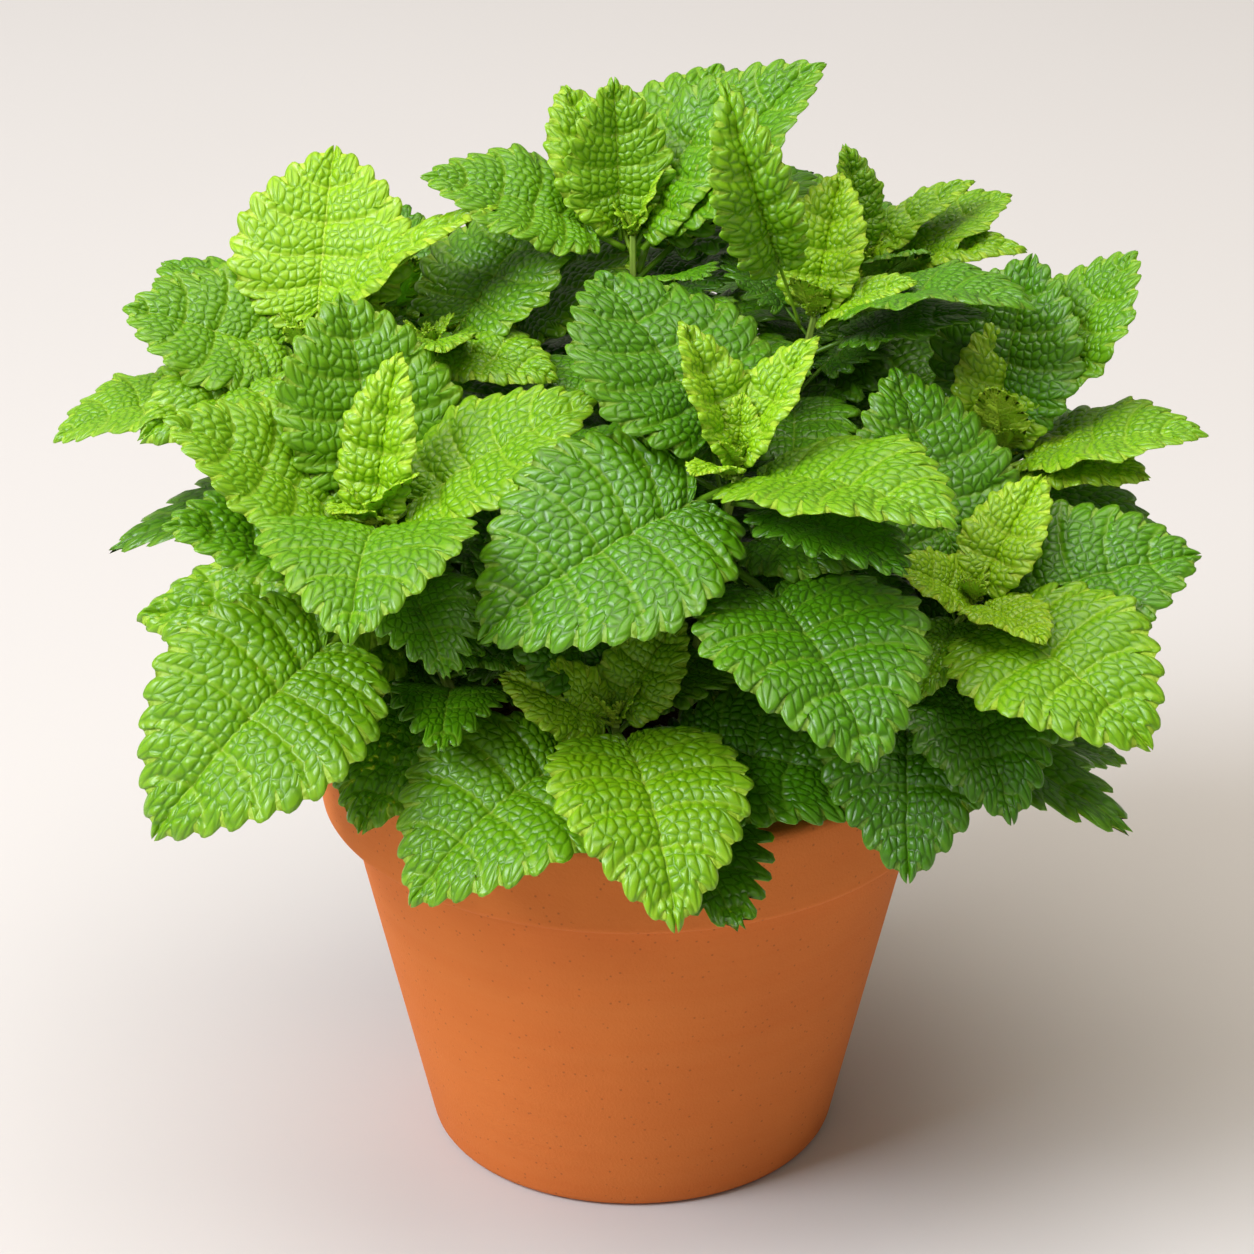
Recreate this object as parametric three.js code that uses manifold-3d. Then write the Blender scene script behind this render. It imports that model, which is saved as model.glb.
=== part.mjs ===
// Lemon balm growing in a plain terracotta pot.
// Millimetres and degrees, +Z up. The part stands on z = 0, with the middle of its overall box over the origin.
import * as THREE from "three";
import { mergeVertices } from "three/addons/utils/BufferGeometryUtils.js";
import Module from "manifold-3d";

const wasm = await Module();
wasm.setup();

// Pot
const rimRadius = 75;
const potHeight = 110;
const baseRadius = 47;
const bandHeight = 22.5;
const bandStep = 5.5; // how far the rim band stands out from the tapered wall below it
const bandTaper = 1.5; // the band is this much slimmer at its lower edge
const lipWidth = 8.3;
const wallThickness = 6.5;
const floorThickness = 8;
const drainRadius = 9;
const lipRounding = 3;
const footRounding = 2.5;

// Soil
const soilDrop = 13; // from the top of the rim down to the edge of the soil
const soilDome = 4; // how much higher the soil is at its middle
const rootDepth = 12; // how deep each stem goes into the soil

// Plant
const stemWidth = 3;
const bladeThickness = 1;
const petioleWidth = 1.8;
const lobeShare = 0.13; // how far the two lobes of the heart-shaped base reach back, as a share of the blade
const clearance = 0.3; // gap kept between neighbouring pieces

// Finenesses
const potSides = 48;
const soilSides = 32;
const cornerSteps = 3;
const stemSteps = 6;
const bladeRows = [0, 0.1, 0.25, 0.45, 0.68, 0.88, 1];
const bladeColumns = [-1, -0.5, 0, 0.5, 1];

// Each shoot rises from its foot in the soil to its tip. Both are given across the pot in rim radii, x then y,
// and the tip's height is in millimetres above the rim.
// Each leaf is: where on the stem (1 = tip), compass turn (0 = +X, 90 = +Y), rise of its stalk, blade length,
// blade width, stalk length, droop from the stalk to the leaf tip, roll about its own length, fold of its halves.
const shoots = [
  {
    name: "front_left",
    foot: [-0.4, -0.33],
    tip: [-0.75, -0.6, 64],
    leaves: [
      [0.97, 186, 40, 45, 38, 5, 15, -20, 8],
      [0.99, 8, 34, 45, 35, 7, 12, 14, 8],
      [0.99, 274, 22, 48, 43, 9, 60, 0, 10],
      [0.93, 108, 56, 42, 40, 12, 10, 8, 8],
      [0.86, 200, 26, 42, 32, 8, 15, -20, 8],
      [0.8, 230, -12, 56, 45, 23, 55, -25, 8],
    ],
  },
  {
    name: "front",
    foot: [-0.06, -0.48],
    tip: [-0.05, -0.8, 23],
    leaves: [
      [1, 283, 5, 50, 40, 6, 60, 0, 10],
      [0.9, 225, 0, 47, 44, 12, 55, -15, 8],
      [0.84, 342, 5, 46, 40, 14, 30, 20, 8],
      [0.97, 140, 55, 46, 36, 10, 20, 0, 8],
    ],
  },
  {
    name: "centre",
    foot: [0.1, -0.28],
    tip: [0.3, -0.7, 80],
    leaves: [
      [0.95, 214, -8, 54, 50, 8, 35, -28, 10],
      [0.99, 126, 36, 48, 46, 8, 12, 0, 8],
      [0.98, 325, 20, 48, 44, 3, 35, 0, 8],
      [0.76, 295, 0, 50, 47, 22, 45, 0, 8],
    ],
  },
  {
    name: "front_right",
    foot: [0.5, -0.35],
    tip: [1, -0.6, 45],
    leaves: [
      [0.98, 114, 52, 46, 36, 8, 10, 0, 8],
      [0.99, 2, 20, 42, 37, 6, 15, 28, 8],
      [0.97, 308, -2, 45, 43, 8, 45, 15, 8],
      [0.66, 268, -5, 42, 35, 12, 55, 0, 8],
      [0.75, 290, -10, 36, 30, 12, 50, 0, 8],
    ],
  },
  {
    name: "right",
    foot: [0.55, 0],
    tip: [1.13, 0, 62],
    leaves: [
      [0.97, 30, 52, 34, 30, 22, 8, 0, 8],
      [0.99, 350, 25, 38, 34, 6, 25, 0, 8],
      [0.85, 325, 10, 40, 38, 7, 25, 0, 8],
      [0.97, 80, 50, 38, 34, 8, 15, 0, 8],
    ],
  },
  {
    name: "upper_right",
    foot: [0.28, 0.1],
    tip: [0.55, 0.13, 92],
    leaves: [
      [0.98, 175, 88, 42, 26, 18, 45, 0, 25],
      [0.99, 340, 28, 39, 36, 11, 40, -5, 8],
      [0.68, 25, 25, 50, 46, 10, 20, 10, 8],
    ],
  },
  {
    name: "crown",
    foot: [0, 0.16],
    tip: [0, 0.33, 106],
    leaves: [
      [0.98, 180, 28, 39, 34, 8, 20, -15, 8],
      [1, 100, 82, 32, 23, 3, 5, 0, 15],
      [0.98, 18, 48, 47, 37, 10, 15, 15, 18],
      [0.93, 65, 48, 46, 42, 10, 20, 0, 8],
    ],
  },
  {
    name: "left",
    foot: [-0.4, 0.1],
    tip: [-1, 0.13, 84],
    leaves: [
      [0.99, 82, 56, 40, 40, 7, 10, 0, 8],
      [0.98, 182, 24, 34, 36, 6, 15, -25, 8],
      [0.92, 195, 0, 33, 30, 26, 25, 0, 8],
      [0.9, 142, 30, 44, 38, 8, 20, 0, 8],
    ],
  },
  {
    name: "middle_left",
    foot: [-0.26, -0.05],
    tip: [-0.62, 0.1, 84],
    leaves: [
      [0.98, 50, 44, 42, 36, 8, 15, 0, 8],
      [0.85, 40, 36, 40, 34, 24, 15, 0, 8],
    ],
  },
  {
    name: "back_right",
    foot: [0.33, 0.42],
    tip: [0.74, 0.74, 86],
    leaves: [
      [0.99, 140, 38, 32, 26, 6, 20, 0, 8],
      [0.99, 20, 35, 30, 28, 8, 20, 0, 8],
      [0.85, 30, 10, 48, 42, 10, 35, 0, 8],
      [0.9, 75, 20, 48, 42, 10, 35, 0, 8],
    ],
  },
  {
    name: "back",
    foot: [0, 0.53],
    tip: [0.05, 1, 74],
    leaves: [
      [0.98, 55, 12, 46, 40, 8, 30, 0, 8],
      [0.98, 140, 25, 46, 40, 8, 30, 0, 8],
      [0.8, 95, 0, 54, 46, 12, 45, 0, 8],
    ],
  },
  {
    name: "back_left",
    foot: [-0.33, 0.45],
    tip: [-0.8, 0.8, 70],
    leaves: [
      [0.98, 100, 25, 46, 40, 8, 25, 0, 8],
      [0.98, 175, 20, 46, 40, 8, 30, 0, 8],
      [0.8, 135, 0, 52, 44, 12, 45, 0, 8],
    ],
  },
];

// How far a leaf may be turned or lifted from its place in the list to come clear of its neighbours,
// in degrees, and then how far its joint may slide along its stem, in shares of the stem.
const nudgeStep = 4;
const nudgeReach = 32;
const slideStep = 0.02;
const slideReach = 0.1;

const clayFinish = { color: 0xc66b33, roughness: 0.85, metalness: 0 };
const soilFinish = { color: 0x2b2018, roughness: 1, metalness: 0 };
const stemFinish = { color: 0x9cc04a, roughness: 0.6, metalness: 0 };
const leafFinish = { color: 0x5c9a2c, roughness: 0.5, metalness: 0 };

const degrees = THREE.MathUtils.degToRad;
const soilLevel = potHeight - soilDrop;

// A closed geometry with only positions, its shared corners merged.
function welded(geometry) {
  const bare = new THREE.BufferGeometry();
  bare.setAttribute("position", geometry.getAttribute("position"));
  bare.setIndex(geometry.index);
  return mergeVertices(bare, 1e-3);
}

function solidOf(geometry) {
  const merged = welded(geometry);
  return new wasm.Manifold(
    new wasm.Mesh({
      numProp: 3,
      vertProperties: merged.attributes.position.array,
      triVerts: new Uint32Array(merged.index.array),
    }),
  );
}

function geometryOf(solid) {
  const mesh = solid.getMesh();
  const geometry = new THREE.BufferGeometry();
  geometry.setAttribute("position", new THREE.BufferAttribute(mesh.vertProperties, 3));
  geometry.setIndex(new THREE.BufferAttribute(mesh.triVerts, 1));
  return geometry;
}

function meshOf(name, geometry, finish) {
  const mesh = new THREE.Mesh(geometry, new THREE.MeshStandardMaterial(finish));
  mesh.name = name;
  return mesh;
}

// An outline through corners [x, y, rounding], each rounded corner drawn as a short curve.
function roundedOutline(corners) {
  const points = [];
  corners.forEach(([x, y, rounding], i) => {
    const here = new THREE.Vector2(x, y);
    if (!rounding) {
      points.push(here);
      return;
    }
    const before = new THREE.Vector2(...corners.at(i - 1).slice(0, 2));
    const after = new THREE.Vector2(...corners[(i + 1) % corners.length].slice(0, 2));
    const start = before.sub(here).setLength(rounding).add(here);
    const end = after.sub(here).setLength(rounding).add(here);
    const bend = new THREE.QuadraticBezierCurve(start, here, end);
    points.push(...bend.getPoints(cornerSteps));
  });
  return points;
}

// Turned about the vertical axis.
function turned(points, sides) {
  return new THREE.LatheGeometry(points, sides).rotateX(Math.PI / 2);
}

// Radius of the tapered outer wall below the rim band, at a height.
function outerRadiusAt(height) {
  const wallTop = rimRadius - bandTaper - bandStep;
  return THREE.MathUtils.lerp(baseRadius, wallTop, height / (potHeight - bandHeight));
}

// Radius of the inside of the pot, which runs straight from the floor to the lip.
function innerRadiusAt(height) {
  const atFloor = outerRadiusAt(floorThickness) - wallThickness;
  const share = (height - floorThickness) / (potHeight - floorThickness);
  return THREE.MathUtils.lerp(atFloor, rimRadius - lipWidth, share);
}

function terracottaPot() {
  const bandBottom = potHeight - bandHeight;
  const corners = [
    [drainRadius, 0, 0],
    [baseRadius, 0, footRounding],
    [outerRadiusAt(bandBottom), bandBottom, 0],
    [rimRadius - bandTaper, bandBottom, lipRounding],
    [rimRadius, potHeight, lipRounding],
    [rimRadius - lipWidth, potHeight, lipRounding],
    [innerRadiusAt(floorThickness), floorThickness, footRounding],
    [drainRadius, floorThickness, 0],
  ];
  const outline = roundedOutline(corners);
  outline.push(outline[0].clone());
  return meshOf("terracotta_pot", turned(outline, potSides), clayFinish);
}

function stemCurve(shoot, depth) {
  const foot = new THREE.Vector3(shoot.foot[0] * rimRadius, shoot.foot[1] * rimRadius, soilLevel - depth);
  const tip = new THREE.Vector3(shoot.tip[0] * rimRadius, shoot.tip[1] * rimRadius, potHeight + shoot.tip[2]);
  const bend = foot.clone().lerp(tip, 0.45);
  bend.z += 0.12 * foot.distanceTo(tip);
  return new THREE.QuadraticBezierCurve3(foot, bend, tip);
}

// A square, four-angled stem along its curve.
function stemGeometry(curve, width) {
  const half = width / 2;
  const section = new THREE.Shape();
  section.moveTo(-half, -half);
  section.lineTo(half, -half);
  section.lineTo(half, half);
  section.lineTo(-half, half);
  section.closePath();
  return new THREE.ExtrudeGeometry(section, { steps: stemSteps, bevelEnabled: false, extrudePath: curve });
}

// The soil, with a close socket round the buried foot of each stem.
function pottingSoil() {
  const bottom = floorThickness + clearance;
  const corners = [
    new THREE.Vector2(0, bottom),
    new THREE.Vector2(innerRadiusAt(bottom) - footRounding - clearance, bottom),
    new THREE.Vector2(innerRadiusAt(soilLevel) - clearance, soilLevel),
    new THREE.Vector2(0.6 * innerRadiusAt(soilLevel), soilLevel + 0.7 * soilDome),
    new THREE.Vector2(0, soilLevel + soilDome),
  ];
  const sockets = shoots.map((shoot) => {
    const curve = stemCurve(shoot, rootDepth + clearance);
    return solidOf(stemGeometry(curve, stemWidth + 2 * clearance));
  });
  const body = sockets.reduce((soil, socket) => soil.subtract(socket), solidOf(turned(corners, soilSides)));
  return meshOf("potting_soil", geometryOf(body), soilFinish);
}

// Half of the blade's width at a share of its length, for an ovate leaf that is broadest near its base.
function halfWidthAt(share, width) {
  const broadest = 0.38;
  const warped = share ** (Math.log(0.5) / Math.log(broadest));
  return (width / 2) * Math.sin(Math.PI * warped) ** 0.75;
}

// A stalk and blade in one closed solid. It starts at the origin and leaves along +X, with its upper face up.
function leafGeometry(leaf, extra) {
  const halfStalk = petioleWidth / 2 + extra;
  const halfThick = bladeThickness / 2 + extra;
  const fold = degrees(leaf.fold);
  const stations = [-leaf.stalk / leaf.length, ...bladeRows];
  const positions = [];
  let centre = new THREE.Vector3();
  let last = stations[0];
  stations.forEach((station) => {
    const angle = degrees(leaf.droop) * Math.max((station + last) / 2, 0);
    const run = (station - last) * leaf.length;
    centre = centre.clone().add(new THREE.Vector3(Math.cos(angle) * run, 0, -Math.sin(angle) * run));
    last = station;
    const slope = degrees(leaf.droop) * Math.max(station, 0);
    const along = new THREE.Vector3(Math.cos(slope), 0, -Math.sin(slope));
    const up = new THREE.Vector3(Math.sin(slope), 0, Math.cos(slope));
    const onBlade = station > 0 && station < 1;
    const half = onBlade ? halfWidthAt(station, leaf.width) + extra : halfStalk;
    bladeColumns.forEach((column) => {
      const lobe = onBlade ? lobeShare * leaf.length * column ** 2 * (1 - station) ** 4 : 0;
      const point = centre.clone().addScaledVector(along, -lobe);
      point.y += half * column * Math.cos(fold);
      point.addScaledVector(up, onBlade ? half * Math.abs(column) * Math.sin(fold) : 0);
      positions.push(point.clone().addScaledVector(up, halfThick));
      positions.push(point.clone().addScaledVector(up, -halfThick));
    });
  });
  return closedSheet(positions, stations.length, bladeColumns.length);
}

// Joins a grid of paired upper and lower points into one closed sheet with faces outwards.
function closedSheet(points, rows, columns) {
  const upper = (row, column) => 2 * (row * columns + column);
  const lower = (row, column) => upper(row, column) + 1;
  const faces = [];
  const quad = (a, b, c, d) => faces.push(a, b, c, a, c, d);
  for (let row = 0; row < rows - 1; row++) {
    for (let column = 0; column < columns - 1; column++) {
      quad(upper(row, column), upper(row + 1, column), upper(row + 1, column + 1), upper(row, column + 1));
      quad(lower(row, column), lower(row, column + 1), lower(row + 1, column + 1), lower(row + 1, column));
    }
    const end = columns - 1;
    quad(upper(row, 0), lower(row, 0), lower(row + 1, 0), upper(row + 1, 0));
    quad(upper(row, end), upper(row + 1, end), lower(row + 1, end), lower(row, end));
  }
  for (let column = 0; column < columns - 1; column++) {
    const end = rows - 1;
    quad(upper(0, column), upper(0, column + 1), lower(0, column + 1), lower(0, column));
    quad(upper(end, column), lower(end, column), lower(end, column + 1), upper(end, column + 1));
  }
  const geometry = new THREE.BufferGeometry();
  geometry.setFromPoints(points);
  geometry.setIndex(faces);
  return geometry;
}

// Where a leaf's stalk starts: beside its stem, on the side that the leaf points to.
function stalkStart(curve, leaf) {
  const heading = new THREE.Vector3(1, 0, 0).applyEuler(leafTurn(leaf, 0, 0));
  const along = curve.getTangent(leaf.at);
  const aside = heading.clone().addScaledVector(along, -heading.dot(along)).normalize();
  const reach = (stemWidth / 2) * Math.SQRT2 + petioleWidth / 2 + clearance;
  return curve.getPoint(leaf.at).addScaledVector(aside, reach);
}

function leafTurn(leaf, turnBy, riseBy) {
  const turn = degrees(leaf.turn + turnBy);
  const rise = degrees(leaf.rise + riseBy);
  return new THREE.Euler(degrees(leaf.roll), -rise, turn, "ZYX");
}

// Small turns and lifts to try, the least first, and then the same from joints further along the stem.
function nudges() {
  const turns = [];
  for (let turnBy = -nudgeReach; turnBy <= nudgeReach; turnBy += nudgeStep) {
    for (let riseBy = -nudgeReach; riseBy <= nudgeReach; riseBy += nudgeStep) {
      turns.push([turnBy, riseBy]);
    }
  }
  turns.sort((a, b) => Math.hypot(...a) - Math.hypot(...b));
  const slides = [0];
  for (let slideBy = slideStep; slideBy <= slideReach; slideBy += slideStep) {
    slides.push(-slideBy, slideBy);
  }
  return slides.flatMap((slideBy) => turns.map((turn) => [...turn, slideBy]));
}

function placedSolid(geometry, matrix) {
  const placed = geometry.clone().applyMatrix4(matrix);
  return { box: new THREE.Box3().setFromBufferAttribute(placed.getAttribute("position")), solid: solidOf(placed) };
}

function touches(piece, others) {
  return others.some((other) => {
    return piece.box.intersectsBox(other.box) && piece.solid.intersect(other.solid).volume() > 0;
  });
}

// Puts a leaf on its stem, turned a little if it has to be to lie beside its neighbours and not through them.
function placedLeaf(name, curve, leaf, neighbours) {
  const geometry = leafGeometry(leaf, 0);
  const roomy = leafGeometry(leaf, clearance);
  const place = ([turnBy, riseBy, slideBy]) => {
    const start = stalkStart(curve, { ...leaf, at: Math.min(1, leaf.at + slideBy) });
    const turn = new THREE.Quaternion().setFromEuler(leafTurn(leaf, turnBy, riseBy));
    return new THREE.Matrix4().compose(start, turn, new THREE.Vector3(1, 1, 1));
  };
  const tries = nudges();
  const free = tries.find((nudge) => !touches(placedSolid(roomy, place(nudge)), neighbours));
  const mesh = meshOf(name, geometry, leafFinish);
  mesh.applyMatrix4(place(free ?? tries[0]));
  mesh.updateMatrixWorld(true);
  neighbours.push(placedSolid(geometry, mesh.matrixWorld));
  return mesh;
}

function plant() {
  const group = new THREE.Group();
  const curves = shoots.map((shoot) => stemCurve(shoot, rootDepth));
  group.add(terracottaPot());
  group.add(pottingSoil());
  shoots.forEach((shoot, i) => {
    group.add(meshOf("stem_" + shoot.name, stemGeometry(curves[i], stemWidth), stemFinish));
  });
  const neighbours = group.children.map((mesh) => placedSolid(mesh.geometry, mesh.matrixWorld));
  shoots.forEach((shoot, i) => {
    shoot.leaves.forEach(([at, turn, rise, length, width, stalk, droop, roll, fold], n) => {
      const leaf = { at, turn, rise, length, width, stalk, droop, roll, fold };
      group.add(placedLeaf(`leaf_${shoot.name}_${n + 1}`, curves[i], leaf, neighbours));
    });
  });
  return group;
}

// The plant's own axis is the pot's. The part's origin is under the middle of its overall box.
const pottedLemonBalm = new THREE.Group();
const grown = plant();
const middle = new THREE.Box3().setFromObject(grown, true).getCenter(new THREE.Vector3());
grown.position.set(-middle.x, -middle.y, 0);
pottedLemonBalm.add(grown);

export default pottedLemonBalm;
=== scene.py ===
# %% [markdown]
# # A pot of lemon balm
# Lemon balm is a mint. Its square stems carry leaves in pairs, each pair turned a quarter turn from the
# last. A leaf is egg-shaped, scalloped along its margin and quilted between its veins. This lesson builds
# one plant in a plain clay pot around a fixed frame, which says where the pot, the soil, every stem and
# every big leaf are. The frame's own solids are plain, so each one gets a finished surface here.

# %% Load the frame and note its size
import math
import bpy
import numpy as np
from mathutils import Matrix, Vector


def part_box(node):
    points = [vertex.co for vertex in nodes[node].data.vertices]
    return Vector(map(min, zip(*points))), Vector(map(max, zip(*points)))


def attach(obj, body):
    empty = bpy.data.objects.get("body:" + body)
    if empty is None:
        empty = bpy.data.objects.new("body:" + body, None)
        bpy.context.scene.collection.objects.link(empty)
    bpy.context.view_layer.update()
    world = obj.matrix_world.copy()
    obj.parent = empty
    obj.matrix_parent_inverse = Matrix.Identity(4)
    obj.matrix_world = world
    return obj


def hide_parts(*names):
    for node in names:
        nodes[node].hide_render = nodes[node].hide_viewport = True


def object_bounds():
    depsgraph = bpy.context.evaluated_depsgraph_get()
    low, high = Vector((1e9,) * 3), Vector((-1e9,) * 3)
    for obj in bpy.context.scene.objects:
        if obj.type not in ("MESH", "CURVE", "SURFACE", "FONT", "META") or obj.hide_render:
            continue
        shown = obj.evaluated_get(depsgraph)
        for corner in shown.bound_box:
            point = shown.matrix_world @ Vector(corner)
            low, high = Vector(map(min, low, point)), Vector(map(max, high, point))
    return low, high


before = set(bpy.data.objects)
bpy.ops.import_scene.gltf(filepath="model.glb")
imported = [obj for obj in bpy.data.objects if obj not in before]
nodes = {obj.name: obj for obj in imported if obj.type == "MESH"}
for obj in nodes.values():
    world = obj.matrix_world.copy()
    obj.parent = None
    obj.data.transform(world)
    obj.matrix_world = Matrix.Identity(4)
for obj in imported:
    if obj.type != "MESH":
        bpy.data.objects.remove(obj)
cad_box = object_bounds()
MM = 0.001
print("the frame holds", len(nodes), "solids in a box", [round(v / MM, 1) for v in cad_box[1] - cad_box[0]])

# %% [markdown]
# ## Small tools
# A finished piece keeps its place in its mesh and its object at the origin. Big meshes are quicker to
# fill through whole arrays than one vertex at a time, so one helper does that, and takes named numbers
# for each vertex that the materials can read.

# %% Meshes from arrays
def mesh_of(name, points, faces, layers=None, uv=None):
    """A smooth mesh from points in millimetres, lists of faces with 3 or 4 corners, and vertex layers."""
    mesh = bpy.data.meshes.new(name)
    points = np.asarray(points, float) * MM
    groups = [np.asarray(group, int) for group in faces if len(group)]
    corners = np.concatenate([group.ravel() for group in groups])
    sizes = np.concatenate([np.full(len(group), group.shape[1]) for group in groups])
    mesh.vertices.add(len(points))
    mesh.vertices.foreach_set("co", points.ravel())
    mesh.loops.add(len(corners))
    mesh.loops.foreach_set("vertex_index", corners)
    mesh.polygons.add(len(sizes))
    mesh.polygons.foreach_set("loop_start", np.concatenate([[0], np.cumsum(sizes)[:-1]]))
    mesh.polygons.foreach_set("use_smooth", np.ones(len(sizes), bool))
    mesh.update(calc_edges=True)
    for label, values in (layers or {}).items():
        values = np.asarray(values, np.float32)
        kind, field = ("FLOAT", "value") if values.ndim == 1 else ("FLOAT_VECTOR", "vector")
        mesh.attributes.new(label, kind, "POINT").data.foreach_set(field, values.ravel())
    if uv is not None:
        layer = mesh.uv_layers.new(name="UVMap")
        layer.data.foreach_set("uv", np.asarray(uv, np.float32)[corners].ravel())
    return mesh


def in_scene(name, data):
    """A new object that is linked to the scene."""
    thing = bpy.data.objects.new(name, data)
    bpy.context.scene.collection.objects.link(thing)
    return thing


def piece_of(name, mesh, material, slot, *replaced):
    """Puts a finished mesh in the scene as a piece of the one body, standing for the named solids."""
    piece = in_scene(name, mesh)
    mesh.materials.clear()
    mesh.materials.append(material)
    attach(piece, "root")
    if replaced:
        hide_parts(*replaced)
    return piece


def points_of(node):
    """The different vertices of one of the frame's solids, in millimetres."""
    flat = np.zeros(3 * len(nodes[node].data.vertices))
    nodes[node].data.vertices.foreach_get("co", flat)
    return np.unique(np.round(flat.reshape(-1, 3) / MM, 4), axis=0)


def unit(vector):
    return vector / np.linalg.norm(vector)


def smooth_step(low, high, value):
    share = np.clip((value - low) / (high - low), 0, 1)
    return share * share * (3 - 2 * share)


# %% Nodes with their settings and links
def add(tree, kind, settings=None, sockets=None):
    """Adds a node. A socket is given as another node's output to link, or as a plain value."""
    node = tree.nodes.new(kind)
    for label, value in (settings or {}).items():
        setattr(node, label, value)
    for label, value in (sockets or {}).items():
        if isinstance(value, bpy.types.NodeSocket):
            tree.links.new(value, node.inputs[label])
        else:
            node.inputs[label].default_value = value
    return node


def linear(code):
    """An sRGB hex colour as linear RGBA."""
    shares = [int(code[i : i + 2], 16) / 255 for i in (1, 3, 5)]
    return [s / 12.92 if s <= 0.04045 else ((s + 0.055) / 1.055) ** 2.4 for s in shares] + [1.0]


def new_material(name):
    material = bpy.data.materials.new(name)
    material.use_nodes = True
    material.node_tree.nodes.clear()
    return material, material.node_tree


def finish_material(tree, shader, bump=None):
    if bump is not None:
        tree.links.new(bump.outputs["Normal"], shader.inputs["Normal"])
    add(tree, "ShaderNodeOutputMaterial", sockets={"Surface": shader.outputs["BSDF"]})


def mixed(tree, share, first, second):
    """A colour mix. Each colour is a hex code or another node's output."""
    first, second = (linear(c) if isinstance(c, str) else c for c in (first, second))
    return add(tree, "ShaderNodeMix", {"data_type": "RGBA"}, {0: share, 6: first, 7: second}).outputs[2]


# %% [markdown]
# ## The camera
# The plant is seen from a little above, from 0.9 m away, with a long lens that keeps its shapes natural.
# The camera aims at a point beside the pot's own axis, halfway up the whole plant.

# %% Aim the camera
pot_low, pot_high = (np.array(corner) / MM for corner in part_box("terracotta_pot"))
axis_x, axis_y = (pot_low[:2] + pot_high[:2]) / 2
rim_radius = (pot_high[0] - pot_low[0]) / 2
pot_height = pot_high[2]

VIEW_TILT = math.radians(25.24)
VIEW_DISTANCE = 900
VIEW_HEIGHT = 0.501 * cad_box[1].z / MM
SIDE_STEP = 1.35
LENS = 110.9

aim = Vector((axis_x - SIDE_STEP, axis_y, VIEW_HEIGHT)) * MM
back = Vector((0, -math.cos(VIEW_TILT), math.sin(VIEW_TILT)))
camera_data = bpy.data.cameras.new("camera")
camera_data.lens = LENS
camera_data.sensor_width = 36
camera = in_scene("camera", camera_data)
camera.location = aim + back * VIEW_DISTANCE * MM
camera.rotation_mode = "QUATERNION"
camera.rotation_quaternion = (-back).to_track_quat("-Z", "Y")
bpy.context.scene.camera = camera
print("pot axis at", round(axis_x, 2), round(axis_y, 2), "mm, rim radius", round(rim_radius, 1))

# %% [markdown]
# ## The clay
# Terracotta is red earthenware fired without a glaze. It is matt and drinks light. The eye reads it by
# soft mottling a few centimetres wide, a fine grain of grog under a millimetre wide, level wipe marks left
# by the mould's turning, and small darker specks. Pattern scales below come from those real sizes.

# %% Terracotta material
def terracotta():
    material, tree = new_material("unglazed terracotta")
    place = add(tree, "ShaderNodeTexCoord").outputs["Object"]
    mottle = add(tree, "ShaderNodeTexNoise", sockets={
        "Vector": place, "Scale": 28.0, "Detail": 4.0, "Roughness": 0.55})
    level = add(tree, "ShaderNodeMapping", sockets={"Vector": place, "Scale": (6.0, 6.0, 260.0)})
    wipe = add(tree, "ShaderNodeTexNoise", sockets={
        "Vector": level.outputs["Vector"], "Scale": 1.0, "Detail": 3.0, "Roughness": 0.6})
    grain = add(tree, "ShaderNodeTexNoise", sockets={
        "Vector": place, "Scale": 1500.0, "Detail": 2.0, "Roughness": 0.6})
    speck = add(tree, "ShaderNodeTexVoronoi", sockets={"Vector": place, "Scale": 420.0})
    dark = add(tree, "ShaderNodeMapRange", sockets={
        "Value": speck.outputs["Distance"], "From Min": 0.06, "From Max": 0.16,
        "To Min": 0.55, "To Max": 0.0})
    body = mixed(tree, mottle.outputs["Fac"], "#c66429", "#da7935")
    body = mixed(tree, wipe.outputs["Fac"], body, mixed(tree, 0.35, body, "#dc8a48"))
    body = mixed(tree, dark.outputs["Result"], body, "#8a4a28")
    height = add(tree, "ShaderNodeMath", {"operation": "MULTIPLY_ADD"}, {
        0: wipe.outputs["Fac"], 1: 0.8, 2: grain.outputs["Fac"]})
    bump = add(tree, "ShaderNodeBump", sockets={
        "Strength": 0.35, "Distance": 0.0004, "Height": height.outputs["Value"]})
    shader = add(tree, "ShaderNodeBsdfPrincipled", sockets={
        "Base Color": body, "Roughness": 0.88, "IOR": 1.5, "Specular IOR Level": 0.25})
    finish_material(tree, shader, bump)
    return material


clay = terracotta()
print("made", clay.name)

# %% [markdown]
# ## The pot
# The real pot is pressed in a turning mould: a tapered wall, a deep band round the rim that stands proud
# of the wall, soft rounded edges and one drain hole. A turned outline makes it. The frame's pot has the
# same outline in few facets, so a finer one replaces it, with a very slight waver as fired clay has.

# %% Turn the pot
BAND_HEIGHT = 22.5
BAND_STEP = 5.5
BAND_TAPER = 1.5
LIP_WIDTH = 8.3
WALL = 6.5
FLOOR = 8.0
DRAIN_RADIUS = 9.0
FOOT_ROUNDING = 2.5
POT_SIDES = 168
foot = points_of("terracotta_pot")
foot = foot[foot[:, 2] < 0.5]
base_radius = np.hypot(foot[:, 0] - axis_x, foot[:, 1] - axis_y).max() + FOOT_ROUNDING


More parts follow.
